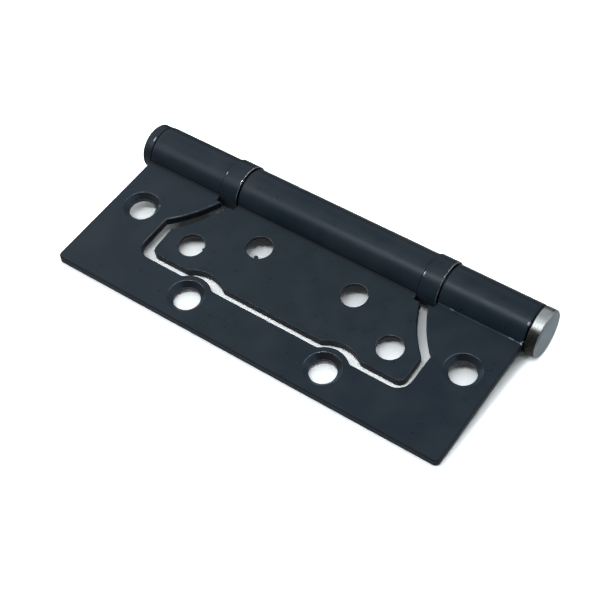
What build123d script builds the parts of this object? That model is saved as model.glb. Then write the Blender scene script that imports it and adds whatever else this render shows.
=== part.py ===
"""Non-mortise hinge: two nested steel leaves on a headed pin, with two ball bearings.

Frame: the origin is on the pin axis at mid-length. +X runs along the pin to its head,
the leaves reach from the barrel towards -Y, and +Z is the outer leaf's countersunk side.
All lengths are in millimetres and all angles in degrees.
"""

import os
from math import asin, atan2, degrees, hypot, radians, sin, sqrt, tan

from build123d import *

# Outer leaf
leaf_length = 100.0
leaf_reach = 39.5
sheet_thickness = 2.0
free_corner_radius = 1.2
edge_chamfer = 0.2
front_rail_width = 10.45

# Barrel, rolled from the leaves
pin_diameter = 7.2
running_clearance = 0.05
bend_radius = 0.3
seam_gap = 0.25
notch_depth = 7.0

# Window in the outer leaf, and the gaps that the inner leaf leaves in it
window_half_width = 35.45
window_corner_radius = 3.4
shoulder_radius = 0.8
flank_radius = 32.6
flank_centre_x = 58.0
flank_centre_y = 5.5
lobe_radius = 5.65
lobe_blend_radius = 1.2
side_gap = 1.9
front_gap = 2.6
inner_corner_radius = 1.9

# Screw holes: half their distance along the pin, and their distance from its axis or their leaf's free edge
screw_hole_diameter = 6.2
countersink_diameter = 8.5
countersink_angle = 90.0
outer_side_hole_x = 42.95
outer_side_hole_y = 17.75
outer_front_hole_x = 18.1
outer_front_hole_margin = 6.5
inner_side_hole_x = 26.6
inner_side_hole_margin = 6.25
inner_near_hole_x = 12.75
inner_near_hole_y = 12.9

# Pin and end plug
head_length = 3.0
head_chamfer = 0.3
head_under_chamfer = 0.5
shoulder_length = 8.0
push_fit_clearance = 0.02
pin_tip_chamfer = 0.8
plug_flange_diameter = 10.9
plug_flange_length = 2.8
plug_edge_chamfer = 0.4
plug_under_chamfer = 0.3
plug_stem_length = 6.0
plug_to_pin_gap = 0.5

# Ball bearings between the knuckles
bearing_centre_x = 26.8
bearing_width = 5.0
shell_diameter = 12.0
shell_wall = 0.5
shell_edge_chamfer = 0.15
shell_rim_gap = 0.3
rim_lip_height = 0.3
rim_lip_length = 0.5
seat_race_thickness = 1.4
race_bore_clearance = 0.1
race_side_clearance = 0.15
shoulder_clearance = 0.2
ball_diameter = 1.2
ball_count = 8
ball_pitch_radius = 4.55
groove_depth = 0.3
groove_angle = 120.0
groove_clearance = 0.02
cage_thickness = 0.5
cage_clearance = 0.1
pocket_clearance = 0.03

# Sizes that follow from those above
half_sheet = sheet_thickness / 2
pin_radius = pin_diameter / 2
bore_radius = pin_radius + running_clearance
barrel_radius = bore_radius + sheet_thickness
half_length = leaf_length / 2
knuckle_half_length = bearing_centre_x - bearing_width / 2
outer_knuckle_start = bearing_centre_x + bearing_width / 2
window_front = leaf_reach - front_rail_width
outer_front_hole_y = leaf_reach - outer_front_hole_margin
inner_reach = window_front - front_gap
inner_side_hole_y = inner_reach - inner_side_hole_margin
inner_half_width = window_half_width - side_gap
bend_height = half_sheet + bend_radius
bend_reach = sqrt((barrel_radius + bend_radius) ** 2 - bend_height**2)
push_fit_radius = bore_radius - push_fit_clearance
shell_radius = shell_diameter / 2
shell_bore_radius = shell_radius - shell_wall
race_bore_radius = pin_radius + race_bore_clearance
race_radius = shell_bore_radius - race_side_clearance
ball_radius = ball_diameter / 2
groove_half_width = groove_depth * tan(radians(groove_angle / 2))
ball_height = (ball_radius + groove_clearance) / sin(radians(groove_angle / 2)) - groove_depth


def lying_angle(reach):
    """Angle of a leaf to the surface it lies on, resting on the shells and its free edge."""
    return degrees(asin(shell_radius / hypot(reach, half_sheet)) - atan2(half_sheet, reach))


rest_droop = lying_angle(inner_reach) - lying_angle(leaf_reach)
inner_leaf_plane = Plane.XY.rotated((rest_droop, 0, 0))
inner_section_plane = Plane((0, 0, 0), x_dir=inner_leaf_plane.y_dir, z_dir=inner_leaf_plane.x_dir)

# Two points this close in a sketch are the same corner
same_place = 0.01


def rolled_section(reach):
    """Section of a leaf: a flat strip that bends up from mid-height and rolls round the pin."""
    bend_centre = (-bend_reach, bend_height)
    bend_angle = degrees(atan2(bend_height, bend_reach))
    seam_angle = degrees(asin((half_sheet + seam_gap) / barrel_radius))
    roll_sweep = 360 - bend_angle - seam_angle
    with BuildSketch() as section:
        with BuildLine():
            Line((-reach, half_sheet), (-bend_reach, half_sheet))
            CenterArc(bend_centre, bend_radius, -90, 90 - bend_angle)
            outside = CenterArc((0, 0), barrel_radius, 180 - bend_angle, -roll_sweep)
            inside = CenterArc((0, 0), bore_radius, seam_angle - 180, roll_sweep)
            Line(outside @ 1, inside @ 0)
            CenterArc(bend_centre, bend_radius + sheet_thickness, -bend_angle, bend_angle - 90)
            Polyline((-bend_reach, -half_sheet), (-reach, -half_sheet), (-reach, half_sheet))
        make_face()
    return section.sketch


def corners_at(shape, place):
    """Vertices of a sketch at a place and at its mirror image."""
    return [v for v in shape.vertices() if hypot(abs(v.X) - place[0], v.Y - place[1]) < same_place]


def nested_outline(knuckle_end, gap, lobe_gap, corner_radius):
    """Outline shared by the window and, inset by the gaps, by the inner leaf."""
    top = 2 * barrel_radius
    half_width = window_half_width - gap
    front = window_front - lobe_gap
    flank = flank_radius + gap
    notch_x = flank_centre_x - sqrt(flank**2 - (flank_centre_y + notch_depth) ** 2)
    shoulder_y = flank_centre_y - sqrt(flank**2 - (flank_centre_x - half_width) ** 2)
    lobe = lobe_radius + lobe_gap
    lobe_half_width = sqrt(lobe**2 - (outer_front_hole_y - front) ** 2)
    lobe_start = (outer_front_hole_x + lobe_half_width, -front)
    lobe_end = (outer_front_hole_x - lobe_half_width, -front)
    with BuildSketch() as outline:
        with BuildLine():
            Polyline((0, top), (knuckle_end, top), (knuckle_end, -notch_depth), (notch_x, -notch_depth))
            RadiusArc((notch_x, -notch_depth), (half_width, shoulder_y), flank)
            Polyline((half_width, shoulder_y), (half_width, -front), lobe_start)
            ThreePointArc(lobe_start, (outer_front_hole_x, lobe - outer_front_hole_y), lobe_end)
            Line(lobe_end, (0, -front))
            mirror(about=Plane.YZ)
        make_face()
        fillet(corners_at(outline, (half_width, shoulder_y)), shoulder_radius)
        fillet(corners_at(outline, (half_width, -front)), corner_radius)
        fillet(corners_at(outline, lobe_start) + corners_at(outline, lobe_end), lobe_blend_radius)
    return outline.sketch


def sheet_edges(leaf, leaf_plane):
    """Edges of both flat faces of a leaf, apart from the lines where its bend starts."""
    flats = leaf.faces().filter_by(Axis(leaf_plane.origin, leaf_plane.z_dir)).sort_by(SortBy.AREA)[-2:]
    outlines = [edge for flat in flats for edge in flat.outer_wire().edges()]
    return [e for e in outlines if leaf_plane.to_local_coords(e.center()).Y < -bend_reach - bend_radius / 2]


def screw_holes(face_plane, places):
    """Countersunk screw holes in a leaf's face, at the mirrored places along the pin."""
    with Locations(face_plane):
        with Locations([(side * x, y) for x, y in places for side in (-1, 1)]):
            CounterSinkHole(screw_hole_diameter / 2, countersink_diameter / 2, 2 * sheet_thickness,
                            countersink_angle)


# Outer leaf: window, two end knuckles and four holes sunk from above
with BuildPart() as outer_leaf:
    with BuildSketch(Plane.YZ):
        add(rolled_section(leaf_reach))
    extrude(amount=half_length, both=True)
    with BuildSketch(Plane.XY):
        add(nested_outline(outer_knuckle_start, 0, 0, window_corner_radius))
    extrude(amount=2 * barrel_radius, both=True, mode=Mode.SUBTRACT)
    fillet(outer_leaf.edges().filter_by(Axis.Z).group_by(Axis.Y)[0], free_corner_radius)
    chamfer(sheet_edges(outer_leaf, Plane.XY), edge_chamfer)
    screw_holes(Plane.XY.offset(half_sheet),
                [(outer_side_hole_x, -outer_side_hole_y), (outer_front_hole_x, -outer_front_hole_y)])
outer_leaf.part.label = "outer_leaf"

# Inner leaf: one middle knuckle and four holes sunk from below
with BuildPart() as inner_leaf:
    with BuildSketch(inner_section_plane):
        add(rolled_section(inner_reach))
    extrude(amount=inner_half_width, both=True)
    with BuildSketch(inner_leaf_plane):
        add(nested_outline(knuckle_half_length, side_gap, front_gap, inner_corner_radius))
    extrude(amount=2 * barrel_radius, both=True, mode=Mode.INTERSECT)
    chamfer(sheet_edges(inner_leaf, inner_leaf_plane), edge_chamfer)
    underside = Plane(inner_leaf_plane.offset(-half_sheet).origin, x_dir=inner_leaf_plane.x_dir,
                      z_dir=-inner_leaf_plane.z_dir)
    screw_holes(underside, [(inner_side_hole_x, inner_side_hole_y), (inner_near_hole_x, inner_near_hole_y)])
inner_leaf.part.label = "inner_leaf"


def turned(label, section):
    """Solid turned about the pin axis from the (place along the pin, radius) points of its section."""
    with BuildPart() as solid:
        with BuildSketch(Plane.XY):
            with BuildLine():
                Polyline(*section, close=True)
            make_face()
        revolve(axis=Axis.X)
    solid.part.label = label
    return solid.part


# Hinge pin: chamfered tip, shank, push-fit shoulder in the knuckle and button head
tip = plug_stem_length + plug_to_pin_gap - half_length
shoulder_start = half_length - shoulder_length
head_end = half_length + head_length
hinge_pin = turned("hinge_pin", [
    (tip, 0),
    (tip, pin_radius - pin_tip_chamfer),
    (tip + pin_tip_chamfer, pin_radius),
    (shoulder_start, pin_radius),
    (shoulder_start, push_fit_radius),
    (half_length, push_fit_radius),
    (half_length, barrel_radius - head_under_chamfer),
    (half_length + head_under_chamfer, barrel_radius),
    (head_end - head_chamfer, barrel_radius),
    (head_end, barrel_radius - head_chamfer),
    (head_end, 0),
])

# End plug: flange outside the knuckle, and a stem pushed into it
plug_radius = plug_flange_diameter / 2
plug_end = -half_length - plug_flange_length
stem_end = plug_stem_length - half_length
end_plug = turned("end_plug", [
    (plug_end, 0),
    (plug_end, plug_radius - plug_edge_chamfer),
    (plug_end + plug_edge_chamfer, plug_radius),
    (-half_length - plug_under_chamfer, plug_radius),
    (-half_length, plug_radius - plug_under_chamfer),
    (-half_length, push_fit_radius),
    (stem_end, push_fit_radius),
    (stem_end, 0),
])

finished = [outer_leaf.part, inner_leaf.part, hinge_pin, end_plug]

# Ball bearings, both with their shell's closed end towards the plug
for end, start in (("plug", -outer_knuckle_start), ("head", knuckle_half_length)):
    seat_start = start + shell_wall
    seat_face = seat_start + seat_race_thickness
    ball_x = seat_face + ball_height
    cover_face = ball_x + ball_height
    cover_end = start + bearing_width
    shell_end = cover_end - shell_rim_gap
    lip_start = shell_end - rim_lip_length
    lip_radius = shell_bore_radius - rim_lip_height
    shoulder_x = lip_start - shoulder_clearance
    hub_radius = lip_radius - race_side_clearance

    shell = turned(f"{end}_bearing_shell", [
        (start, race_bore_radius),
        (start, shell_radius - shell_edge_chamfer),
        (start + shell_edge_chamfer, shell_radius),
        (shell_end - shell_edge_chamfer, shell_radius),
        (shell_end, shell_radius - shell_edge_chamfer),
        (shell_end, lip_radius),
        (lip_start, lip_radius),
        (lip_start, shell_bore_radius),
        (seat_start, shell_bore_radius),
        (seat_start, race_bore_radius),
    ])
    seat_race = turned(f"{end}_bearing_seat_race", [
        (seat_start, race_bore_radius),
        (seat_start, race_radius),
        (seat_face, race_radius),
        (seat_face, ball_pitch_radius + groove_half_width),
        (seat_face - groove_depth, ball_pitch_radius),
        (seat_face, ball_pitch_radius - groove_half_width),
        (seat_face, race_bore_radius),
    ])
    cover_race = turned(f"{end}_bearing_cover_race", [
        (cover_end, race_bore_radius),
        (cover_end, hub_radius),
        (shoulder_x, hub_radius),
        (shoulder_x, race_radius),
        (cover_face, race_radius),
        (cover_face, ball_pitch_radius + groove_half_width),
        (cover_face + groove_depth, ball_pitch_radius),
        (cover_face, ball_pitch_radius - groove_half_width),
        (cover_face, race_bore_radius),
    ])

    with BuildPart() as cage:
        with BuildSketch(Plane.YZ.offset(ball_x - cage_thickness / 2)):
            Circle(shell_bore_radius - cage_clearance)
            Circle(pin_radius + cage_clearance, mode=Mode.SUBTRACT)
            with PolarLocations(ball_pitch_radius, ball_count):
                Circle(ball_radius + pocket_clearance, mode=Mode.SUBTRACT)
        extrude(amount=cage_thickness)
    cage.part.label = f"{end}_bearing_cage"
    finished += [shell, seat_race, cover_race, cage.part]

    for number, place in enumerate(PolarLocations(ball_pitch_radius, ball_count).local_locations, start=1):
        with BuildPart(Plane.YZ.offset(ball_x)) as ball:
            with Locations(place):
                Sphere(ball_radius)
        ball.part.label = f"{end}_bearing_ball_{number}"
        finished.append(ball.part)

os.makedirs("parts", exist_ok=True)
for piece in finished:
    export_step(piece, f"parts/{piece.label}.step")
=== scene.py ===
"""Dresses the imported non-mortise hinge: coated sheet steel, worn edges, bare pin, floor, light and camera."""

from math import cos, pi, radians, sin, sqrt

import bmesh
import bpy
from bpy.props import FloatProperty, FloatVectorProperty, PointerProperty
from mathutils import Matrix, Vector


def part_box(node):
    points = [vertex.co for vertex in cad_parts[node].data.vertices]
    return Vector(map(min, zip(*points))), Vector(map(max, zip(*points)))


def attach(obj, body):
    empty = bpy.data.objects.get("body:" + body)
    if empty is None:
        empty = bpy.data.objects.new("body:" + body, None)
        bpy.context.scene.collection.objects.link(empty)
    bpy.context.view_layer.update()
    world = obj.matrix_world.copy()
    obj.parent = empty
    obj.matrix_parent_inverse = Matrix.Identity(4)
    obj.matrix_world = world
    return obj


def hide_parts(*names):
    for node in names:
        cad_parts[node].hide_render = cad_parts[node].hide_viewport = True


bl_info = {
    "name": "Non-mortise hinge",
    "version": (1, 0, 0),
    "blender": (4, 5, 0),
    "location": "3D View > Sidebar > Hinge",
    "description": "Finishes, floor, light and camera for a black coated non-mortise hinge",
    "category": "Object",
}

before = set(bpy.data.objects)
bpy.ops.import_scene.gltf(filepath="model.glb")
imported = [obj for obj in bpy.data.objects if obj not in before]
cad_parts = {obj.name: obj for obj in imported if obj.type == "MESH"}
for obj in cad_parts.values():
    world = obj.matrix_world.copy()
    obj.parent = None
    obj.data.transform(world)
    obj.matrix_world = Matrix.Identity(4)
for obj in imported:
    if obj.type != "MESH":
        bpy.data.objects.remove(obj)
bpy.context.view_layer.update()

MM = 0.001
BEARING_ENDS = ("plug", "head")

# Places on the hinge that wear, painted shade and painted highlights are put at, taken from the CAD boxes
KNUCKLE_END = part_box("outer_leaf")[1].x
HEAD_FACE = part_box("hinge_pin")[1].x
SHELL_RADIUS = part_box("head_bearing_shell")[1].z
FREE_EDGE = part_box("outer_leaf")[0].y

# Where the leaves leave the barrel, and the distance from mid-length to the middle of each bearing shell
BARREL_FOOT = -6.5 * MM
SHELL_MIDDLE = 26.8 * MM

# Lie of the two leaves: the direction from the free edge to the barrel, and the normal of the upper face
INNER_DROOP = radians(3.65)
OUTER_ACROSS = Vector((0, 1, 0))
INNER_ACROSS = Vector((0, cos(INNER_DROOP), sin(INNER_DROOP)))
OUTER_NORMAL = (0.0, 0.0, 1.0)
INNER_NORMAL = (0.0, -sin(INNER_DROOP), cos(INNER_DROOP))

# Middle of the crease between each leaf and its knuckles, in section
OUTER_CREASE = (0.0, -5.65 * MM, 1.12 * MM)
INNER_CREASE = (0.0, -5.71 * MM, 0.76 * MM)

# Stretch of a crease that painted shade darkens, as the places where it has ended and where it is full
LEFT_HALF = (1 * MM, 0.0)
WHOLE_LENGTH = (2.0, 1.0)

# The outer leaf's countersunk holes in its right half, and the radii of their bores and countersinks
SUNK_HOLES = ((42.95 * MM, -17.75 * MM), (18.1 * MM, -33.0 * MM))
BORE_RADIUS = 3.12 * MM
COUNTERSINK_RADIUS = 4.4 * MM

# Bare places on the outer leaf, centre and radius: worn places by the head and by a hole, a painted highlight
# on a knuckle's end, and a mark on the crease that is wear and painted highlight both
CORNER_WEAR = ((KNUCKLE_END, -5.4 * MM, 1.1 * MM), 0.6 * MM)
HOLE_NICK = ((-39.5 * MM, -15.6 * MM, 1.0 * MM), 0.35 * MM)
KNUCKLE_GLINT = ((KNUCKLE_END - 0.1 * MM, -2.8 * MM, 4.85 * MM), 0.55 * MM)
CREASE_WORN_GLINT = ((33 * MM, *OUTER_CREASE[1:]), 0.6 * MM)

# Direction across the floor towards the camera: the leaves' edges that face it are worn bare, which is wear and
# painted highlight both
CAMERA_SIDE = (0.64, -0.77, 0.0)

# The window's ends, which bow towards the middle of the hinge. The inner leaf's ends follow them at a gap
WINDOW_HALF_WIDTH = 35.45 * MM
NOTCH_DEPTH = 7 * MM
BOW_CENTRE = Vector((58 * MM, 5.5 * MM))
BOW_RADIUS = 32.6 * MM
SIDE_GAP = 1.9 * MM

# How far a vertex of a window's end may lie off its arc, and on the inner side of its chord
OFF_ARC = 0.35 * MM
INSIDE_CHORD = 0.4 * MM

# In the leaves' meshes: vertices closer than this are one, faces that turn less are flat, and edges that turn
# more are sharp
SAME_PLACE = 0.001 * MM
FLAT_TURN = radians(0.05)
SHARP_TURN = radians(30)

# Distance from the end of the knuckle to the middle of the painted highlight on the plug
STREAK_OFFSET = 0.72 * MM

# Middle of the darkest stretch of floor that the window shows
SHADED_CORNER = (-31 * MM, -12 * MM, 0.0)

# Burrs at the rims of two of the inner leaf's holes: place along the pin and across the leaf, and size
BURRS = (((-11.75 * MM, -15.47 * MM), 0.72 * MM), ((-23.45 * MM, -19.8 * MM), 0.45 * MM))
BURR_SIDES = 9

# Heights of a burr's top and bottom over the middle of the sheet, and its width there as a share of its size
BURR_LEVELS = ((0.97 * MM, 1.0), (0.55 * MM, 0.8))

# Directions in the softbox's plane: to its front edge, to the slanted edge of its bright band, and along it
TO_FRONT = (0.6, -0.8, 0.0)
TO_BAND = (0.336, -0.998, 0.0)
ALONG_BAND = (0.8, 0.6, 0.0)


class CoatingLook(bpy.types.PropertyGroup):
    """Black coating on the leaves, the bearing shells and the plug."""

    colour: FloatVectorProperty(
        name="Colour", description="Colour of the coating", subtype="COLOR", size=3, min=0, max=1,
        default=(0.0092, 0.0172, 0.0262))
    thin_colour: FloatVectorProperty(
        name="Thin colour", description="Colour where the coating is thinner and greyer", subtype="COLOR",
        size=3, min=0, max=1, default=(0.0138, 0.0222, 0.0315))
    bare_colour: FloatVectorProperty(
        name="Bare colour", description="Colour of the steel where the coating is worn off",
        subtype="COLOR", default=(0.62, 0.68, 0.74))
    roughness: FloatProperty(
        name="Roughness", description="Roughness of the coating", default=0.31, min=0, max=1,
        subtype="FACTOR")
    gloss: FloatProperty(
        name="Gloss", description="Specular level of the coating", default=0.25, min=0, max=1,
        subtype="FACTOR")
    cloud_size: FloatProperty(
        name="Cloud size", description="Size of the faint clouds in the coating", default=9 * MM,
        min=0.1 * MM, max=0.1, unit="LENGTH")
    grain_size: FloatProperty(
        name="Grain size", description="Size of the coating's fine grain", default=0.35 * MM, min=0.01 * MM,
        max=0.01, unit="LENGTH")
    grain_height: FloatProperty(
        name="Grain height", description="Height of the coating's fine grain", default=0.006 * MM, min=0,
        max=0.001, unit="LENGTH", precision=6)
    edge_round: FloatProperty(
        name="Edge round", description="Radius that the coating gives the sheet's edges", default=0.22 * MM,
        min=0, max=0.001, unit="LENGTH", precision=5)
    barrel_round: FloatProperty(
        name="Barrel round", description="Radius at the ends of the barrel's knuckles", default=0.45 * MM,
        min=0, max=0.001, unit="LENGTH", precision=5)
    rim_round: FloatProperty(
        name="Rim round", description="Radius of the bearing shells' rims", default=0.35 * MM, min=0,
        max=0.001, unit="LENGTH", precision=5)
    gloss_tint: FloatVectorProperty(
        name="Gloss tint", description="Tint of the coating's gloss", subtype="COLOR", size=3, min=0, max=1,
        default=(0.84, 0.92, 1.0))
    # Painted shade: this colour darkens the coating in creases, on the countersinks' far walls and round barrel
    # pieces by the knuckles
    painted_shade_colour: FloatVectorProperty(
        name="Deep colour", description="Colour of the dark coating in creases and sunk holes",
        subtype="COLOR", size=3, min=0, max=1, default=(0.004, 0.006, 0.009))
    bare_roughness: FloatProperty(
        name="Bare roughness", description="Roughness of the steel where the coating is worn off",
        default=0.18, min=0, max=1, subtype="FACTOR")
    # Painted light: these two lighter colours stand in for the light on the sunk holes' walls
    cone_painted_light: FloatVectorProperty(
        name="Cone colour", description="Colour of the thin coating on the countersinks' side walls",
        subtype="COLOR", size=3, min=0, max=1, default=(0.026, 0.042, 0.060))
    bore_painted_light: FloatVectorProperty(
        name="Bore colour", description="Colour of the thin coating in the sunk holes' bores",
        subtype="COLOR", size=3, min=0, max=1, default=(0.075, 0.07, 0.09))
    deep_roughness: FloatProperty(
        name="Deep roughness", description="Roughness of the coating in creases and sunk holes", default=0.6,
        min=0, max=1, subtype="FACTOR")


class SteelLook(bpy.types.PropertyGroup):
    """Bare steel of the pin head."""

    side_colour: FloatVectorProperty(
        name="Side colour", description="Colour of the head's turned side", subtype="COLOR", size=3, min=0,
        max=1, default=(0.56, 0.61, 0.62))
    face_colour: FloatVectorProperty(
        name="Face colour", description="Colour of the head's dull face", subtype="COLOR", size=3, min=0,
        max=1, default=(0.70, 0.82, 0.88))
    # Painted shade: the head's side is darkened with this colour round from its top towards the leaves
    side_shade_colour: FloatVectorProperty(
        name="Burnt colour", description="Colour of the brown oxide on the head's lower side",
        subtype="COLOR", size=3, min=0, max=1, default=(0.13, 0.135, 0.135))
    side_roughness: FloatProperty(
        name="Side roughness", description="Roughness of the turned side", default=0.25, min=0, max=1,
        subtype="FACTOR")
    face_roughness: FloatProperty(
        name="Face roughness", description="Roughness of the dull face", default=0.5, min=0, max=1,
        subtype="FACTOR")
    scratch_depth: FloatProperty(
        name="Scratch depth", description="Depth of the scratches on the side", default=0.002 * MM, min=0,
        max=0.001, unit="LENGTH", precision=6)
    head_round: FloatProperty(
        name="Head round", description="Radius of the head's edges", default=0.12 * MM, min=0, max=0.001,
        unit="LENGTH", precision=5)
    # Painted shade: this colour darkens the head's edge where it meets the knuckle
    gap_shade_colour: FloatVectorProperty(
        name="Gap colour", description="Colour of the head's dark edge by the knuckle", subtype="COLOR",
        size=3, min=0, max=1, default=(0.02, 0.02, 0.022))
    scratch_size: FloatProperty(
        name="Scratch width", description="Width of the scratches on the side", default=0.12 * MM,
        min=0.01 * MM, max=0.01, unit="LENGTH", precision=5)


class StageLook(bpy.types.PropertyGroup):
    """Floor, light and camera."""

    floor_tilt: FloatProperty(
        name="Floor tilt",
        description="Angle between the floor and the outer leaf, which leans on its free edge",
        default=radians(7.284), subtype="ANGLE")
    floor_drop: FloatProperty(
        name="Floor drop", description="Distance from the pin axis to the floor", default=SHELL_RADIUS,
        unit="LENGTH", precision=5)
    floor_size: FloatProperty(
        name="Floor size", description="Width of the floor", default=4.0, unit="LENGTH")
    floor_mirrored: FloatProperty(
        name="Floor mirrored", description="How bright the floor shows in the coating and the metal",
        default=0.35, min=0, max=1)
    shadow_lift: FloatProperty(
        name="Shadow lift", description="White added to the shadow round the hinge", default=0.36, min=0,
        max=1)
    paper_reach: FloatProperty(
        name="Paper reach", description="Distance at which the lit paper ends in what the metal mirrors",
        default=0.08, unit="LENGTH")
    floor_colour: FloatVectorProperty(
        name="Floor colour", description="Colour of the floor", subtype="COLOR", size=3, min=0, max=1,
        default=(0.8, 0.8, 0.8))
    floor_cast: FloatVectorProperty(
        name="Floor cast", description="Cool cast of the floor's shadows", subtype="COLOR", size=3, min=0,
        max=1, default=(0.92, 0.975, 1.0))
    floor_white: FloatProperty(
        name="Floor white",
        description="How white the floor shows, so that only its deep shadows stay grey", default=1.65,
        min=0, max=4)
    floor_under: FloatProperty(
        name="Floor under", description="How white the floor shows through the window and the holes",
        default=1.3, min=0, max=4)
    shaded_floor: FloatVectorProperty(
        name="Shaded floor", description="Colour of the floor in the window's darkest corner",
        subtype="COLOR", size=3, min=0, max=1, default=(0.17, 0.16, 0.19))
    far_floor: FloatVectorProperty(
        name="Far floor", description="Colour that the metal mirrors beyond the lit paper", subtype="COLOR",
        size=3, min=0, max=1, default=(0.03, 0.03, 0.03))
    softbox_edge: FloatProperty(
        name="Softbox edge", description="Place of the softbox's front edge, as a share of its height",
        default=0.37)
    softbox_middle: FloatProperty(
        name="Softbox middle", description="Strength of the softbox straight over the hinge", default=0.85,
        min=0)
    softbox_left: FloatProperty(
        name="Softbox left", description="Strength of the softbox's far left part", default=1.12, min=0)
    softbox_right: FloatProperty(
        name="Softbox right", description="Strength of the softbox's far right part", default=0.42, min=0)
    softbox_band: FloatProperty(
        name="Softbox band", description="Extra strength along the softbox's front edge", default=14.0,
        min=0)
    room: FloatProperty(
        name="Room", description="Strength of the dim room round the softbox", default=0.06, min=0)
    room_left: FloatProperty(
        name="Room left", description="Strength of the room at the left", default=0.3, min=0)
    azimuth: FloatProperty(
        name="Azimuth", description="Camera azimuth", default=radians(39.71), subtype="ANGLE")
    elevation: FloatProperty(
        name="Elevation", description="Camera elevation", default=radians(52.50), subtype="ANGLE")
    roll: FloatProperty(
        name="Roll", description="Camera roll", default=radians(-6.10), subtype="ANGLE")
    distance: FloatProperty(
        name="Distance", description="Distance from the camera to the point it looks at", default=0.29486,
        unit="LENGTH", precision=4)
    target: FloatVectorProperty(
        name="Target", description="The point that the camera looks at", subtype="TRANSLATION", size=3,
        default=(0.00337, -0.02018, 0.0), precision=5)
    lens: FloatProperty(
        name="Lens", description="Focal length in millimetres", default=81.25)


def add_node(tree, kind, inputs=None, **fields):
    """Adds a shader node, sets its fields, and gives each named input a value or a link."""
    made = tree.nodes.new(kind)
    for name, value in fields.items():
        setattr(made, name, value)
    for name, value in (inputs or {}).items():
        if isinstance(value, bpy.types.NodeSocket):
            tree.links.new(value, made.inputs[name])
        else:
            made.inputs[name].default_value = value
    return made


def new_material(name):
    """A node material with only its output, and that output."""
    material = bpy.data.materials.new(name)
    material.use_nodes = True
    tree = material.node_tree
    tree.nodes.clear()
    return material, tree, tree.nodes.new("ShaderNodeOutputMaterial")


def calculate(tree, operation, first, second=0.0):
    """Result of a math node."""
    return add_node(tree, "ShaderNodeMath", {0: first, 1: second}, operation=operation).outputs[0]


def compare(tree, operation, first, second):
    """Number that a vector math node makes of two vectors."""
    return add_node(tree, "ShaderNodeVectorMath", {0: first, 1: second}, operation=operation).outputs["Value"]


def distance(tree, first, second):
    """Distance between two places."""
    return compare(tree, "DISTANCE", first, second)


def fade(tree, value, low, high, low_result=0.0, high_result=1.0):
    """Smooth step from one result to another as a value goes from low to high."""
    spread = {"Value": value, "From Min": low, "From Max": high, "To Min": low_result, "To Max": high_result}
    return add_node(tree, "ShaderNodeMapRange", spread, interpolation_type="SMOOTHSTEP").outputs["Result"]


def noise(tree, place, size, detail=2.0, stretch=None):
    """Noise of a given feature size at a place, drawn out along the axes by the stretch."""
    if stretch:
        place = add_node(tree, "ShaderNodeMapping", {"Vector": place, "Scale": stretch}).outputs[0]
    settings = {"Vector": place, "Scale": 1 / size, "Detail": detail}
    return add_node(tree, "ShaderNodeTexNoise", settings).outputs[0]


def object_place(tree):
    """The place on the object, and its x, y and z."""
    place = add_node(tree, "ShaderNodeTexCoord").outputs["Object"]
    parts = add_node(tree, "ShaderNodeSeparateXYZ", {0: place}).outputs
    return place, parts[0], parts[1], parts[2]


def barrel_angle(tree, y, z):
    """Angle round the pin, from straight up towards the leaves, in radians."""
    return calculate(tree, "ARCTAN2", calculate(tree, "MULTIPLY", y, -1.0), z)


def spot(tree, place, centre, radius, raggedness):
    """Ragged patch round a centre, 1 inside and 0 outside."""
    uneven = calculate(tree, "MULTIPLY_ADD", noise(tree, place, radius / 2, 3), raggedness * radius)
    uneven.node.inputs[2].default_value = -raggedness * radius / 2
    return fade(tree, calculate(tree, "ADD", distance(tree, place, centre), uneven), radius, radius * 0.6)


def all_of(tree, *masks):
    """Product of masks."""
    result = masks[0]
    for mask in masks[1:]:
        result = calculate(tree, "MULTIPLY", result, mask)
    return result


def any_of(tree, *masks):
    """Greatest of masks."""
    result = masks[0]
    for mask in masks[1:]:
        result = calculate(tree, "MAXIMUM", result, mask)
    return result


def mix_colour(tree, factor, first, second):
    """Mix of two colours."""
    return add_node(tree, "ShaderNodeMix", {0: factor, 6: first, 7: second}, data_type="RGBA").outputs[2]


def mix_value(tree, factor, first, second):
    """Mix of two values."""
    return add_node(tree, "ShaderNodeMix", {0: factor, 2: first, 3: second}).outputs[0]


def opaque(colour):
    """Colour with full alpha."""
    return (*colour, 1.0)


def scaled(colour, strength):
    """Colour times a strength, with full alpha."""
    return opaque([strength * c for c in colour])


def facing(tree, normal, direction):
    """1 where a normal points in a direction, and -1 where it points away from it."""
    return compare(tree, "DOT_PRODUCT", normal, direction)


def surface_normal(tree):
    """The surface's own normal."""
    return add_node(tree, "ShaderNodeNewGeometry").outputs["Normal"]


def normal_parts(tree):
    """The x, y and z of the surface's own normal."""
    return add_node(tree, "ShaderNodeSeparateXYZ", {0: surface_normal(tree)}).outputs


def from_line(tree, place, line):
    """Distance from a line along the pin, given by a point on it."""
    section = add_node(tree, "ShaderNodeVectorMath", {0: place, 1: (0, 1, 1)}, operation="MULTIPLY")
    return distance(tree, section.outputs[0], line)


def sunk_holes(tree, x, y):
    """Masks of the painted light in the outer leaf's sunk holes: 1 on the countersinks' side walls that don't
    face the free edge, and 1 on the walls of their bores.
    """
    folded = add_node(tree, "ShaderNodeCombineXYZ", {0: calculate(tree, "ABSOLUTE", x), 1: y}).outputs[0]
    nearest = calculate(tree, "MINIMUM", *[distance(tree, folded, (*hole, 0)) for hole in SUNK_HOLES])
    towards_barrel, upwards = normal_parts(tree)[1:3]
    outside_bore = fade(tree, nearest, BORE_RADIUS, BORE_RADIUS + 0.08 * MM)
    inside_bore = fade(tree, nearest, BORE_RADIUS + 0.08 * MM, BORE_RADIUS)
    cone = all_of(tree, fade(tree, nearest, COUNTERSINK_RADIUS, COUNTERSINK_RADIUS - 0.1 * MM), outside_bore,
                  fade(tree, upwards, 0.95, 0.85), fade(tree, towards_barrel, -0.5, -0.3))
    bore = all_of(tree, inside_bore, fade(tree, upwards, 0.5, 0.3))
    return cone, bore


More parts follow.
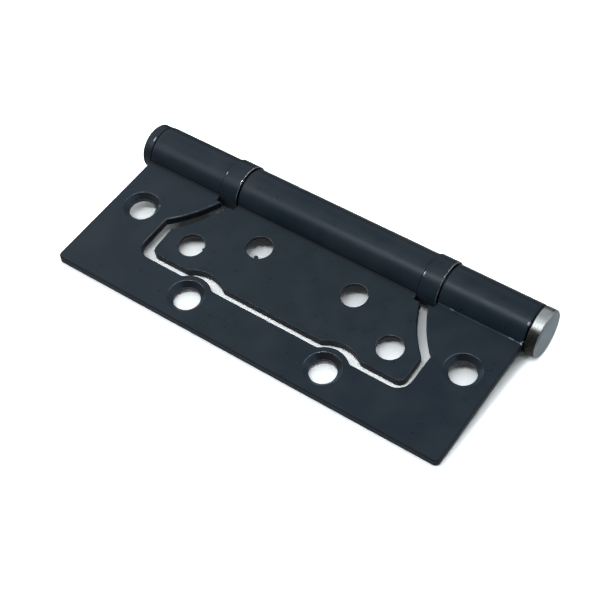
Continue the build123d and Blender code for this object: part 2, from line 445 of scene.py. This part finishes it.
def edge_wear_and_glints(tree, place, x, y, rounded, rub):
    """Edges of the leaves that face the camera, worn bare as wear and painted highlight both, apart from the
    free edge, the barrel and its ends.
    """
    at_edge = fade(tree, facing(tree, rounded, surface_normal(tree)), 0.985, 0.92)
    to_side = fade(tree, facing(tree, rounded, CAMERA_SIDE), 0.1, 0.25)
    off_free_edge = fade(tree, y, FREE_EDGE + 1.5 * MM, FREE_EDGE + 1.8 * MM)
    off_barrel = fade(tree, y, BARREL_FOOT + 0.5 * MM, BARREL_FOOT)
    off_ends = fade(tree, calculate(tree, "ABSOLUTE", x), KNUCKLE_END - 0.5 * MM, KNUCKLE_END - 0.8 * MM)
    uneven = fade(tree, noise(tree, place, 1.3 * MM, 3), 0.38, 0.66, rub * 0.4, rub)
    return all_of(tree, at_edge, to_side, off_free_edge, off_barrel, off_ends, uneven)


def coating(name, wear=None, shade=None, edge_round=None, rub=0.3, sunk=False):
    """Satin black coating: faint clouds, fine grain, worn edges that also stand in for highlights, and bare
    steel where wear is 1.

    The shade gives 1 where painted shade darkens the coating and makes it rough, rub is how bare the edges are,
    and sunk is true for the leaf with countersinks that are seen, whose walls get painted light.
    """
    look = bpy.context.scene.hinge_coating
    material, tree, output = new_material(name)
    place, x, y, z = object_place(tree)
    cloud = fade(tree, noise(tree, place, look.cloud_size, 3), 0.35, 0.7)
    colour = mix_colour(tree, cloud, opaque(look.colour), opaque(look.thin_colour))
    smudge = noise(tree, place, look.cloud_size / 2, 4)
    rough = fade(tree, smudge, 0.3, 0.7, look.roughness - 0.04, look.roughness + 0.05)
    if shade:
        # Painted shade where the shade mask is 1: a darker colour and rougher coating
        deep = shade(tree, place, x, y, z)
        colour = mix_colour(tree, deep, colour, opaque(look.painted_shade_colour))
        rough = mix_value(tree, deep, rough, look.deep_roughness)
    if sunk:
        # Painted light on the countersinks' side walls and in their bores
        cone, bore = sunk_holes(tree, x, y)
        colour = mix_colour(tree, cone, colour, opaque(look.cone_painted_light))
        colour = mix_colour(tree, bore, colour, opaque(look.bore_painted_light))
    radius = edge_round(tree, x, y) if edge_round else look.edge_round
    rounded = add_node(tree, "ShaderNodeBevel", {"Radius": radius}, samples=8).outputs[0]
    # Bare steel on worn edges at the camera's side and from wear; parts of both stand in for highlights
    rubbed = edge_wear_and_glints(tree, place, x, y, rounded, rub)
    worn = any_of(tree, rubbed, wear(tree, place, x, y, z)) if wear else rubbed
    rough = mix_value(tree, worn, rough, look.bare_roughness)
    grain = noise(tree, place, look.grain_size, 3)
    relief = {"Height": grain, "Normal": rounded, "Distance": look.grain_height}
    surface = add_node(tree, "ShaderNodeBsdfPrincipled", {
        "Base Color": mix_colour(tree, worn, colour, opaque(look.bare_colour)),
        "Metallic": worn,
        "Roughness": rough,
        "Normal": add_node(tree, "ShaderNodeBump", relief).outputs[0],
        "Specular IOR Level": look.gloss,
        "Specular Tint": opaque(look.gloss_tint),
    })
    tree.links.new(surface.outputs[0], output.inputs["Surface"])
    return material


def leaf_shade(normal, crease, stretch):
    """Painted shade, with rougher coating, on slopes that face a leaf's free edge, and in a stretch of its
    crease.
    """

    def shade(tree, place, x, y, z):
        slope = facing(tree, surface_normal(tree), normal)
        to_free_edge = calculate(tree, "MULTIPLY", normal_parts(tree)[1], -1.0)
        off_barrel = fade(tree, y, BARREL_FOOT + 0.2 * MM, BARREL_FOOT)
        # Painted shade on the countersinks' far walls, which face the free edge
        sunk = all_of(tree, off_barrel, fade(tree, to_free_edge, 0.35, 0.6),
                      fade(tree, slope, 0.3, 0.5), fade(tree, slope, 0.95, 0.85))
        # Painted shade along the crease
        crease_shade = all_of(tree, fade(tree, from_line(tree, place, crease), 0.55 * MM, 0.2 * MM),
                       fade(tree, x, *stretch))
        return any_of(tree, sunk, crease_shade)

    return shade


def barrel_end_round(tree, x, y):
    """Edge radius of the outer leaf: the ends of its rolled knuckles are rounder than the cut sheet."""
    look = bpy.context.scene.hinge_coating
    near_end = fade(tree, calculate(tree, "ABSOLUTE", x), KNUCKLE_END - 1.2 * MM, KNUCKLE_END - 1.0 * MM)
    on_barrel = fade(tree, y, BARREL_FOOT, BARREL_FOOT + 0.5 * MM)
    return fade(tree, all_of(tree, near_end, on_barrel), 0, 1, look.edge_round, look.barrel_round)


def end_shade(low_x, high_x):
    """Painted shade round a barrel piece between two places along the pin, where it meets a knuckle."""

    def shade(tree, place, x, y, z):
        return all_of(tree, fade(tree, x, low_x - 0.05 * MM, low_x + 0.05 * MM),
                      fade(tree, x, high_x + 0.05 * MM, high_x - 0.05 * MM))

    return shade


def plug_glint(tree, place, x, y, z):
    """Painted highlight on the plug: a short streak of bare steel by the knuckle."""
    angle = barrel_angle(tree, y, z)
    from_streak = calculate(tree, "ABSOLUTE", calculate(tree, "ADD", x, KNUCKLE_END + STREAK_OFFSET))
    below_top = fade(tree, angle, radians(16), radians(20))
    above_end = fade(tree, angle, radians(31), radians(26))
    return all_of(tree, fade(tree, from_streak, 0.24 * MM, 0.08 * MM), below_top, above_end, 0.6)


def open_side(tree, x):
    """1 on the right half of each bearing shell, whose rim is open."""
    head_half = calculate(tree, "GREATER_THAN", x, SHELL_MIDDLE)
    plug_half = all_of(tree, calculate(tree, "GREATER_THAN", x, -SHELL_MIDDLE),
                       calculate(tree, "LESS_THAN", x, 0.0))
    return any_of(tree, head_half, plug_half)


def rim_round(tree, x, y):
    """Edge radius of the bearing shells: their open rims are rounder than their closed ends."""
    look = bpy.context.scene.hinge_coating
    from_middle = calculate(tree, "SUBTRACT", calculate(tree, "ABSOLUTE", x), SHELL_MIDDLE)
    at_end = fade(tree, calculate(tree, "ABSOLUTE", from_middle), 1.5 * MM, 1.8 * MM)
    return fade(tree, all_of(tree, at_end, open_side(tree, x)), 0, 1, 0.05 * MM, look.rim_round)


def shell_wear(rim_x, closed_x):
    """Wear of a bearing shell: its open rim rubbed bright, its closed rim touched here and there."""

    def wear(tree, place, x, y, z):
        from_rim = calculate(tree, "SUBTRACT", rim_x, x)
        ragged = noise(tree, place, 0.9 * MM, 3)
        reach = fade(tree, ragged, 0.35, 0.7, 0.10 * MM, 0.22 * MM)
        angle = barrel_angle(tree, y, z)
        upper = fade(tree, angle, radians(44), radians(26), 0.3, 1.0)
        rubbed = all_of(tree, upper, fade(tree, noise(tree, place, 1.6 * MM, 3), 0.36, 0.6, 0.5, 1.0))
        off_end_face = fade(tree, normal_parts(tree)[0], 0.9, 0.75)
        rim = all_of(tree, calculate(tree, "LESS_THAN", from_rim, reach), rubbed, off_end_face)
        from_back = calculate(tree, "SUBTRACT", x, closed_x)
        back = all_of(tree, calculate(tree, "LESS_THAN", from_back, 0.3 * MM),
                      fade(tree, angle, radians(14), radians(20)),
                      fade(tree, angle, radians(38), radians(32)), fade(tree, ragged, 0.46, 0.56, 0, 0.6))
        return any_of(tree, rim, back)

    return wear


def leaf_wear_and_glints(tree, place, x, y, z):
    """Bare steel on the outer leaf: wear by the head and by a hole, a painted highlight on a knuckle's end, and
    marks along the crease that are wear and painted highlight both.
    """
    corner = spot(tree, place, *CORNER_WEAR, 0.8)
    nick = all_of(tree, spot(tree, place, *HOLE_NICK, 0.8), 0.3)
    # Painted highlight: a bare-steel spot on the knuckle's rounded end, where it catches the light
    rim = all_of(tree, spot(tree, place, *KNUCKLE_GLINT, 1.0), 0.35)
    crease = fade(tree, from_line(tree, place, OUTER_CREASE), 0.2 * MM, 0.1 * MM)
    # Along the crease: bare marks that are worn places and painted highlights on the bend both
    worn_glint_dots = all_of(tree, crease, fade(tree, x, 44 * MM, 48 * MM, 0, 0.25),
                  fade(tree, noise(tree, place, 0.8 * MM, 2), 0.4, 0.6))
    worn_glint_dash = all_of(tree, crease, spot(tree, place, *CREASE_WORN_GLINT, 0.5), 0.15)
    return any_of(tree, corner, nick, rim, worn_glint_dots, worn_glint_dash)


def bare_steel(name):
    """Turned steel: a scratched bright side and a dull face."""
    look = bpy.context.scene.hinge_steel
    material, tree, output = new_material(name)
    place, x, y, z = object_place(tree)
    angle = barrel_angle(tree, y, z)
    face = fade(tree, x, HEAD_FACE - 0.33 * MM, HEAD_FACE - 0.27 * MM)
    # Painted shade on the head's edge by the knuckle, growing round towards the leaves
    shade_by_knuckle = all_of(tree, fade(tree, x, KNUCKLE_END + 0.4 * MM, KNUCKLE_END + 0.25 * MM),
                        fade(tree, angle, radians(15), radians(40)))
    streak = noise(tree, place, look.scratch_size, 3, stretch=(1.0, 0.1, 0.1))
    dull = fade(tree, noise(tree, place, 1.3 * MM, 3), 0.45, 0.65)
    # Each layer's share over the ones before it: scratches, dull patches, and painted shade that darkens the
    # side from 20° and again from 34° round from the top towards the leaves
    side_layers = (
        (fade(tree, streak, 0.4, 0.75, 0, 0.5), scaled(look.side_colour, 0.45)),
        (calculate(tree, "MULTIPLY", dull, 0.25), scaled(look.side_colour, 0.55)),
        (fade(tree, angle, radians(20), radians(28), 0, 0.85), opaque(look.side_shade_colour)),
        (fade(tree, angle, radians(34), radians(44), 0, 0.8), opaque(look.side_shade_colour)),
    )
    side_colour = opaque(look.side_colour)
    for share, layer in side_layers:
        side_colour = mix_colour(tree, share, side_colour, layer)
    mottle = fade(tree, noise(tree, place, 1.8 * MM, 4), 0.35, 0.65, 0, 0.35)
    face_colour = mix_colour(tree, mottle, opaque(look.face_colour), scaled(look.face_colour, 0.85))
    colour = mix_colour(tree, face, side_colour, face_colour)
    colour = mix_colour(tree, shade_by_knuckle, colour, opaque(look.gap_shade_colour))
    side_rough = fade(tree, streak, 0.3, 0.7, look.side_roughness - 0.05, look.side_roughness + 0.1)
    rounded = add_node(tree, "ShaderNodeBevel", {"Radius": look.head_round}, samples=6).outputs[0]
    relief = {"Height": streak, "Normal": rounded, "Distance": look.scratch_depth}
    surface = add_node(tree, "ShaderNodeBsdfPrincipled", {
        "Base Color": colour,
        "Metallic": 1.0,
        "Roughness": mix_value(tree, face, side_rough, look.face_roughness),
        "Normal": add_node(tree, "ShaderNodeBump", relief).outputs[0],
    })
    tree.links.new(surface.outputs[0], output.inputs["Surface"])
    return material


def polished_steel(name, colour, roughness):
    """Clean steel of the bearing's inside, with a thin film of grease that dulls it in places."""
    material, tree, output = new_material(name)
    place = object_place(tree)[0]
    film = fade(tree, noise(tree, place, 1.5 * MM, 3), 0.4, 0.65)
    greased = calculate(tree, "MULTIPLY", film, 0.4)
    surface = add_node(tree, "ShaderNodeBsdfPrincipled", {
        "Base Color": mix_colour(tree, greased, opaque(colour), scaled(colour, 0.6)),
        "Metallic": 1.0,
        "Roughness": fade(tree, film, 0, 1, roughness, roughness + 0.15),
    })
    tree.links.new(surface.outputs[0], output.inputs["Surface"])
    return material


def bow(gap):
    """Radius, start and end of the arc at a window's end, set in by a gap."""
    radius = BOW_RADIUS + gap
    start_x = BOW_CENTRE.x - sqrt(radius**2 - (BOW_CENTRE.y + NOTCH_DEPTH) ** 2)
    end_x = WINDOW_HALF_WIDTH - gap
    end_y = BOW_CENTRE.y - sqrt(radius**2 - (BOW_CENTRE.x - end_x) ** 2)
    return radius, Vector((start_x, -NOTCH_DEPTH)), Vector((end_x, end_y))


def turn_bow_inwards(work, across, gap):
    """Moves the arcs at a leaf's ends from the outer side of their chords to the inner side."""
    radius, start, end = bow(gap)
    half = (end - start).length / 2
    along = (end - start).normalized()
    outwards = Vector((-along.y, along.x))
    rise = sqrt(radius**2 - half**2)
    for vertex in work.verts:
        flat = Vector((abs(vertex.co.x), vertex.co.dot(across))) - (start + end) / 2
        reach = flat.dot(along)
        on_arc = abs((flat + outwards * rise).length - radius) < OFF_ARC
        if abs(reach) < half and on_arc and flat.dot(outwards) > -INSIDE_CHORD:
            shift = 2 * (sqrt(radius**2 - reach**2) - rise)
            vertex.co.x -= shift * outwards.x * (1 if vertex.co.x > 0 else -1)
            vertex.co -= across * shift * outwards.y


def add_leaf(node, body, across, gap, material):
    """Leaf with the CAD leaf's shape and inward bows at its window's ends."""
    mesh = bpy.data.meshes.new(f"{node}_bowed")
    work = bmesh.new()
    work.from_mesh(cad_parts[node].data)
    bmesh.ops.remove_doubles(work, verts=work.verts[:], dist=SAME_PLACE)
    bmesh.ops.dissolve_limit(work, angle_limit=FLAT_TURN, verts=work.verts[:], edges=work.edges[:])
    turn_bow_inwards(work, across, gap)
    bmesh.ops.triangulate(work, faces=[f for f in work.faces if len(f.verts) > 4], ngon_method="BEAUTY")
    for edge in work.edges:
        edge.smooth = edge.calc_face_angle(0) < SHARP_TURN
    for face in work.faces:
        face.smooth = True
    work.to_mesh(mesh)
    work.free()
    old_normals = mesh.attributes.get("custom_normal")
    if old_normals:
        mesh.attributes.remove(old_normals)
    mesh.materials.clear()
    mesh.materials.append(material)
    leaf = bpy.data.objects.new(f"{node}_bowed", mesh)
    bpy.context.scene.collection.objects.link(leaf)
    even = leaf.modifiers.new("even shading", "WEIGHTED_NORMAL")
    even.mode = "FACE_AREA"
    even.keep_sharp = True
    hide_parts(node)
    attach(leaf, body)


def add_burr(name, place, size, material):
    """Ragged flake of steel left at a hole's rim in the inner leaf's upper face."""
    centre = Vector((place[0], 0, 0)) + INNER_ACROSS * place[1]
    mesh = bpy.data.meshes.new(name)
    work = bmesh.new()
    for height, share in BURR_LEVELS:
        for step in range(BURR_SIDES):
            turn = 2 * pi * step / BURR_SIDES
            reach = size * (0.8 + 0.25 * sin(5.3 * step)) * share
            flat = Vector((reach * cos(turn), 0, 0)) + INNER_ACROSS * reach * sin(turn)
            work.verts.new(centre + flat + Vector(INNER_NORMAL) * height)
    work.verts.ensure_lookup_table()
    top, bottom = work.verts[:BURR_SIDES], work.verts[BURR_SIDES:]
    work.faces.new(top)
    work.faces.new(reversed(bottom))
    for step in range(BURR_SIDES):
        after = (step + 1) % BURR_SIDES
        work.faces.new((top[after], top[step], bottom[step], bottom[after]))
    work.to_mesh(mesh)
    work.free()
    mesh.materials.append(material)
    burr = bpy.data.objects.new(name, mesh)
    bpy.context.scene.collection.objects.link(burr)
    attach(burr, "inner")


def finish_node(node, material):
    """Gives a CAD node one material."""
    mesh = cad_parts[node].data
    mesh.materials.clear()
    mesh.materials.append(material)


class HINGE_OT_coat_leaves(bpy.types.Operator):
    """Coat both leaves, bow their window's ends inwards and leave burrs at two holes"""

    bl_idname = "hinge.coat_leaves"
    bl_label = "Coat leaves"

    def execute(self, context):
        outer_shade = leaf_shade(OUTER_NORMAL, OUTER_CREASE, LEFT_HALF)
        inner_shade = leaf_shade(INNER_NORMAL, INNER_CREASE, WHOLE_LENGTH)
        outer_coating = coating(
            "outer_leaf_coating", leaf_wear_and_glints, outer_shade, barrel_end_round, rub=0.8, sunk=True)
        inner_coating = coating("inner_leaf_coating", shade=inner_shade)
        add_leaf("outer_leaf", "outer", OUTER_ACROSS, 0.0, outer_coating)
        add_leaf("inner_leaf", "inner", INNER_ACROSS, SIDE_GAP, inner_coating)
        for number, (place, size) in enumerate(BURRS, 1):
            add_burr(f"hole_burr_{number}", place, size, inner_coating)
        return {"FINISHED"}


class HINGE_OT_coat_shells(bpy.types.Operator):
    """Coat the two bearing shells and rub their rims bright"""

    bl_idname = "hinge.coat_shells"
    bl_label = "Coat bearing shells"

    def execute(self, context):
        for end in BEARING_ENDS:
            low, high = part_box(f"{end}_bearing_shell")
            wear = shell_wear(high.x, low.x)
            # Painted shade at the shell's closed end, where it meets a knuckle
            shade = end_shade(low.x - 1 * MM, low.x + 0.12 * MM)
            shell_coating = coating(f"{end}_shell_coating", wear, shade, rim_round, rub=0.0)
            finish_node(f"{end}_bearing_shell", shell_coating)
        return {"FINISHED"}


class HINGE_OT_coat_plug(bpy.types.Operator):
    """Coat the end plug"""

    bl_idname = "hinge.coat_plug"
    bl_label = "Coat end plug"

    def execute(self, context):
        # Painted shade on the plug's chamfer and shank, where it meets the knuckle
        shade = end_shade(-KNUCKLE_END - 0.4 * MM, 0.0)
        finish_node("end_plug", coating("plug_coating", plug_glint, shade))
        return {"FINISHED"}


class HINGE_OT_finish_pin(bpy.types.Operator):
    """Finish the pin in bare turned steel"""

    bl_idname = "hinge.finish_pin"
    bl_label = "Finish pin"

    def execute(self, context):
        finish_node("hinge_pin", bare_steel("pin_steel"))
        return {"FINISHED"}


class HINGE_OT_finish_bearings(bpy.types.Operator):
    """Finish the races, cages and balls inside the bearing shells"""

    bl_idname = "hinge.finish_bearings"
    bl_label = "Finish bearing insides"

    def execute(self, context):
        # Painted shade: near-black steel for the races, so that the gap between each shell's rim and the next
        # knuckle shows dark
        race = polished_steel("shaded_race_steel", (0.05, 0.05, 0.052), 0.3)
        cage = polished_steel("cage_steel", (0.45, 0.44, 0.42), 0.4)
        ball = polished_steel("ball_steel", (0.62, 0.62, 0.63), 0.08)
        finishes = {"seat_race": race, "cover_race": race, "cage": cage, "ball": ball}
        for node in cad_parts:
            for part, material in finishes.items():
                if f"_bearing_{part}" in node:
                    finish_node(node, material)
        return {"FINISHED"}


def floor_frame(look):
    """Matrix that puts a flat mesh on the floor, touching what the hinge rests on."""
    up = Vector((0, sin(look.floor_tilt), cos(look.floor_tilt)))
    across = Vector((1, 0, 0))
    turned = Matrix((across, up.cross(across), up)).transposed().to_4x4()
    return Matrix.Translation(-up * look.floor_drop) @ turned


def beside_hinge(tree):
    """1 on the floor round the hinge, and 0 on the floor under it."""
    x, y = object_place(tree)[1:3]
    along = calculate(tree, "SUBTRACT", calculate(tree, "ABSOLUTE", x), KNUCKLE_END)
    middle = FREE_EDGE / 2
    from_middle = calculate(tree, "ABSOLUTE", calculate(tree, "SUBTRACT", y, middle))
    across = calculate(tree, "SUBTRACT", from_middle, -middle)
    return fade(tree, any_of(tree, along, across), 0, 2 * MM)


def floor_material(look):
    """Pale floor that shows white apart from its shadows, and lets the underside be seen from below."""
    material, tree, output = new_material("floor_white")
    path = add_node(tree, "ShaderNodeLightPath").outputs
    seen = any_of(tree, path["Is Camera Ray"], path["Is Glossy Ray"], path["Is Transmission Ray"])
    place = object_place(tree)[0]
    reach = add_node(tree, "ShaderNodeVectorMath", {0: place}, operation="LENGTH").outputs["Value"]
    far = fade(tree, reach, look.paper_reach * 0.7, look.paper_reach)
    mirrored = mix_colour(tree, far, opaque((look.floor_mirrored,) * 3), opaque(look.far_floor))
    in_corner = fade(tree, distance(tree, place, SHADED_CORNER), 6.5 * MM, 4 * MM)
    under = mix_colour(tree, in_corner, scaled(look.floor_cast, look.floor_under), opaque(look.shaded_floor))
    whitened = mix_colour(tree, beside_hinge(tree), under, scaled(look.floor_cast, look.floor_white))
    shown = mix_colour(tree, path["Is Glossy Ray"], whitened, mirrored)
    plain = add_node(tree, "ShaderNodeBsdfDiffuse", {"Color": opaque(look.floor_colour)})
    white = add_node(tree, "ShaderNodeBsdfDiffuse", {"Color": shown})
    lift = all_of(tree, path["Is Camera Ray"], fade(tree, beside_hinge(tree), 0, 1, 0.02, look.shadow_lift))
    lifted = add_node(tree, "ShaderNodeEmission", {"Color": opaque(look.floor_cast), "Strength": lift})
    lit = add_node(tree, "ShaderNodeAddShader", {0: white.outputs[0], 1: lifted.outputs[0]})
    top = add_node(tree, "ShaderNodeMixShader", {0: seen, 1: plain.outputs[0], 2: lit.outputs[0]})
    below = add_node(tree, "ShaderNodeBsdfTransparent")
    backfacing = add_node(tree, "ShaderNodeNewGeometry").outputs["Backfacing"]
    both = add_node(tree, "ShaderNodeMixShader", {0: backfacing, 1: top.outputs[0], 2: below.outputs[0]})
    tree.links.new(both.outputs[0], output.inputs["Surface"])
    return material


def add_floor(look):
    """Square floor under the hinge."""
    half = look.floor_size / 2
    corners = [(-half, -half, 0), (half, -half, 0), (half, half, 0), (-half, half, 0)]
    mesh = bpy.data.meshes.new("floor")
    mesh.from_pydata(corners, [], [(0, 1, 2, 3)])
    mesh.materials.append(floor_material(look))
    floor = bpy.data.objects.new("floor", mesh)
    bpy.context.scene.collection.objects.link(floor)
    floor.matrix_world = floor_frame(look)


def on_softbox(tree, direction, nearer, axis):
    """Where a direction meets the softbox's plane, one unit above the hinge, measured along an axis."""
    return calculate(tree, "MULTIPLY", compare(tree, "DOT_PRODUCT", direction, axis), nearer)


def light_tent(look):
    """Softbox with a bright band along its front edge, over a dim room. The camera sees plain white."""
    world = bpy.data.worlds.new("light_tent")
    bpy.context.scene.world = world
    world.use_nodes = True
    tree = world.node_tree
    tree.nodes.clear()
    direction = add_node(tree, "ShaderNodeTexCoord").outputs["Generated"]
    parts = add_node(tree, "ShaderNodeSeparateXYZ", {0: direction}).outputs
    side, height = parts[0], parts[2]
    # The softbox is a flat sheet over the hinge, so a low direction meets it far out
    nearer = calculate(tree, "DIVIDE", 1.0, calculate(tree, "MAXIMUM", height, 0.05))
    front = on_softbox(tree, direction, nearer, TO_FRONT)
    slanted = on_softbox(tree, direction, nearer, TO_BAND)
    along = on_softbox(tree, direction, nearer, ALONG_BAND)
    # It ends at its front edge and above the horizon
    over = all_of(tree, fade(tree, front, look.softbox_edge + 0.015, look.softbox_edge - 0.015),
                  fade(tree, height, 0.02, 0.25))
    # Its far part differs from right to left
    far_part = fade(tree, along, -0.08, -0.26, look.softbox_right, look.softbox_left)
    sheet = mix_value(tree, fade(tree, front, -0.48, -0.25), far_part, look.softbox_middle)
    # The bright band along its front edge weakens at both ends
    band = all_of(tree, fade(tree, slanted, look.softbox_edge - 0.15, look.softbox_edge - 0.09),
                  fade(tree, along, -0.75, -0.15, 0.1, 1.0),
                  fade(tree, along, 1.1, 0.8, 0, look.softbox_band))
    room = fade(tree, side, -0.4, -0.9, look.room, look.room_left)
    lit = calculate(tree, "ADD", all_of(tree, over, calculate(tree, "ADD", sheet, band)), room)
    seen = add_node(tree, "ShaderNodeLightPath").outputs["Is Camera Ray"]
    strength = mix_value(tree, seen, lit, 1.0)
    background = add_node(tree, "ShaderNodeBackground", {"Color": (1, 1, 1, 1), "Strength": strength})
    output = tree.nodes.new("ShaderNodeOutputWorld")
    tree.links.new(background.outputs[0], output.inputs["Surface"])


def add_camera(look):
    """Camera at the photograph's place, turned about its own line of sight by the roll."""
    back = Vector((sin(look.azimuth) * cos(look.elevation), -cos(look.azimuth) * cos(look.elevation),
                   sin(look.elevation)))
    right = Vector((cos(look.azimuth), sin(look.azimuth), 0))
    up = back.cross(right)
    rolled_right = right * cos(look.roll) + up * sin(look.roll)
    rolled_up = up * cos(look.roll) - right * sin(look.roll)
    data = bpy.data.cameras.new("camera")
    data.lens = look.lens
    data.sensor_width = 36.0
    data.clip_start = 0.01
    camera = bpy.data.objects.new("camera", data)
    bpy.context.scene.collection.objects.link(camera)
    turned = Matrix((rolled_right, rolled_up, back)).transposed().to_4x4()
    camera.matrix_world = Matrix.Translation(Vector(look.target) + back * look.distance) @ turned
    bpy.context.scene.camera = camera


class HINGE_OT_set_stage(bpy.types.Operator):
    """Add the floor, the light and the camera"""

    bl_idname = "hinge.set_stage"
    bl_label = "Set stage"

    def execute(self, context):
        look = context.scene.hinge_stage
        context.scene.view_settings.view_transform = "Standard"
        add_floor(look)
        light_tent(look)
        add_camera(look)
        return {"FINISHED"}


STEPS = (
    HINGE_OT_set_stage,
    HINGE_OT_coat_leaves,
    HINGE_OT_coat_shells,
    HINGE_OT_coat_plug,
    HINGE_OT_finish_pin,
    HINGE_OT_finish_bearings,
)


class HINGE_PT_steps(bpy.types.Panel):
    """The hinge's making, step by step"""

    bl_idname = "HINGE_PT_steps"
    bl_label = "Hinge"
    bl_space_type = "VIEW_3D"
    bl_region_type = "UI"
    bl_category = "Hinge"

    def draw(self, context):
        for step in STEPS:
            self.layout.operator(step.bl_idname)


LOOKS = {"hinge_coating": CoatingLook, "hinge_steel": SteelLook, "hinge_stage": StageLook}
CLASSES = (*LOOKS.values(), *STEPS, HINGE_PT_steps)


def register():
    """Registers the classes and the looks' settings."""
    for made in CLASSES:
        bpy.utils.register_class(made)
    for name, look in LOOKS.items():
        setattr(bpy.types.Scene, name, PointerProperty(type=look))


def unregister():
    """Takes away what register adds."""
    for name in LOOKS:
        delattr(bpy.types.Scene, name)
    for made in reversed(CLASSES):
        bpy.utils.unregister_class(made)


def main():
    register()
    for step in STEPS:
        group, name = step.bl_idname.split(".")
        getattr(getattr(bpy.ops, group), name)()


if __name__ == "__main__":
    main()
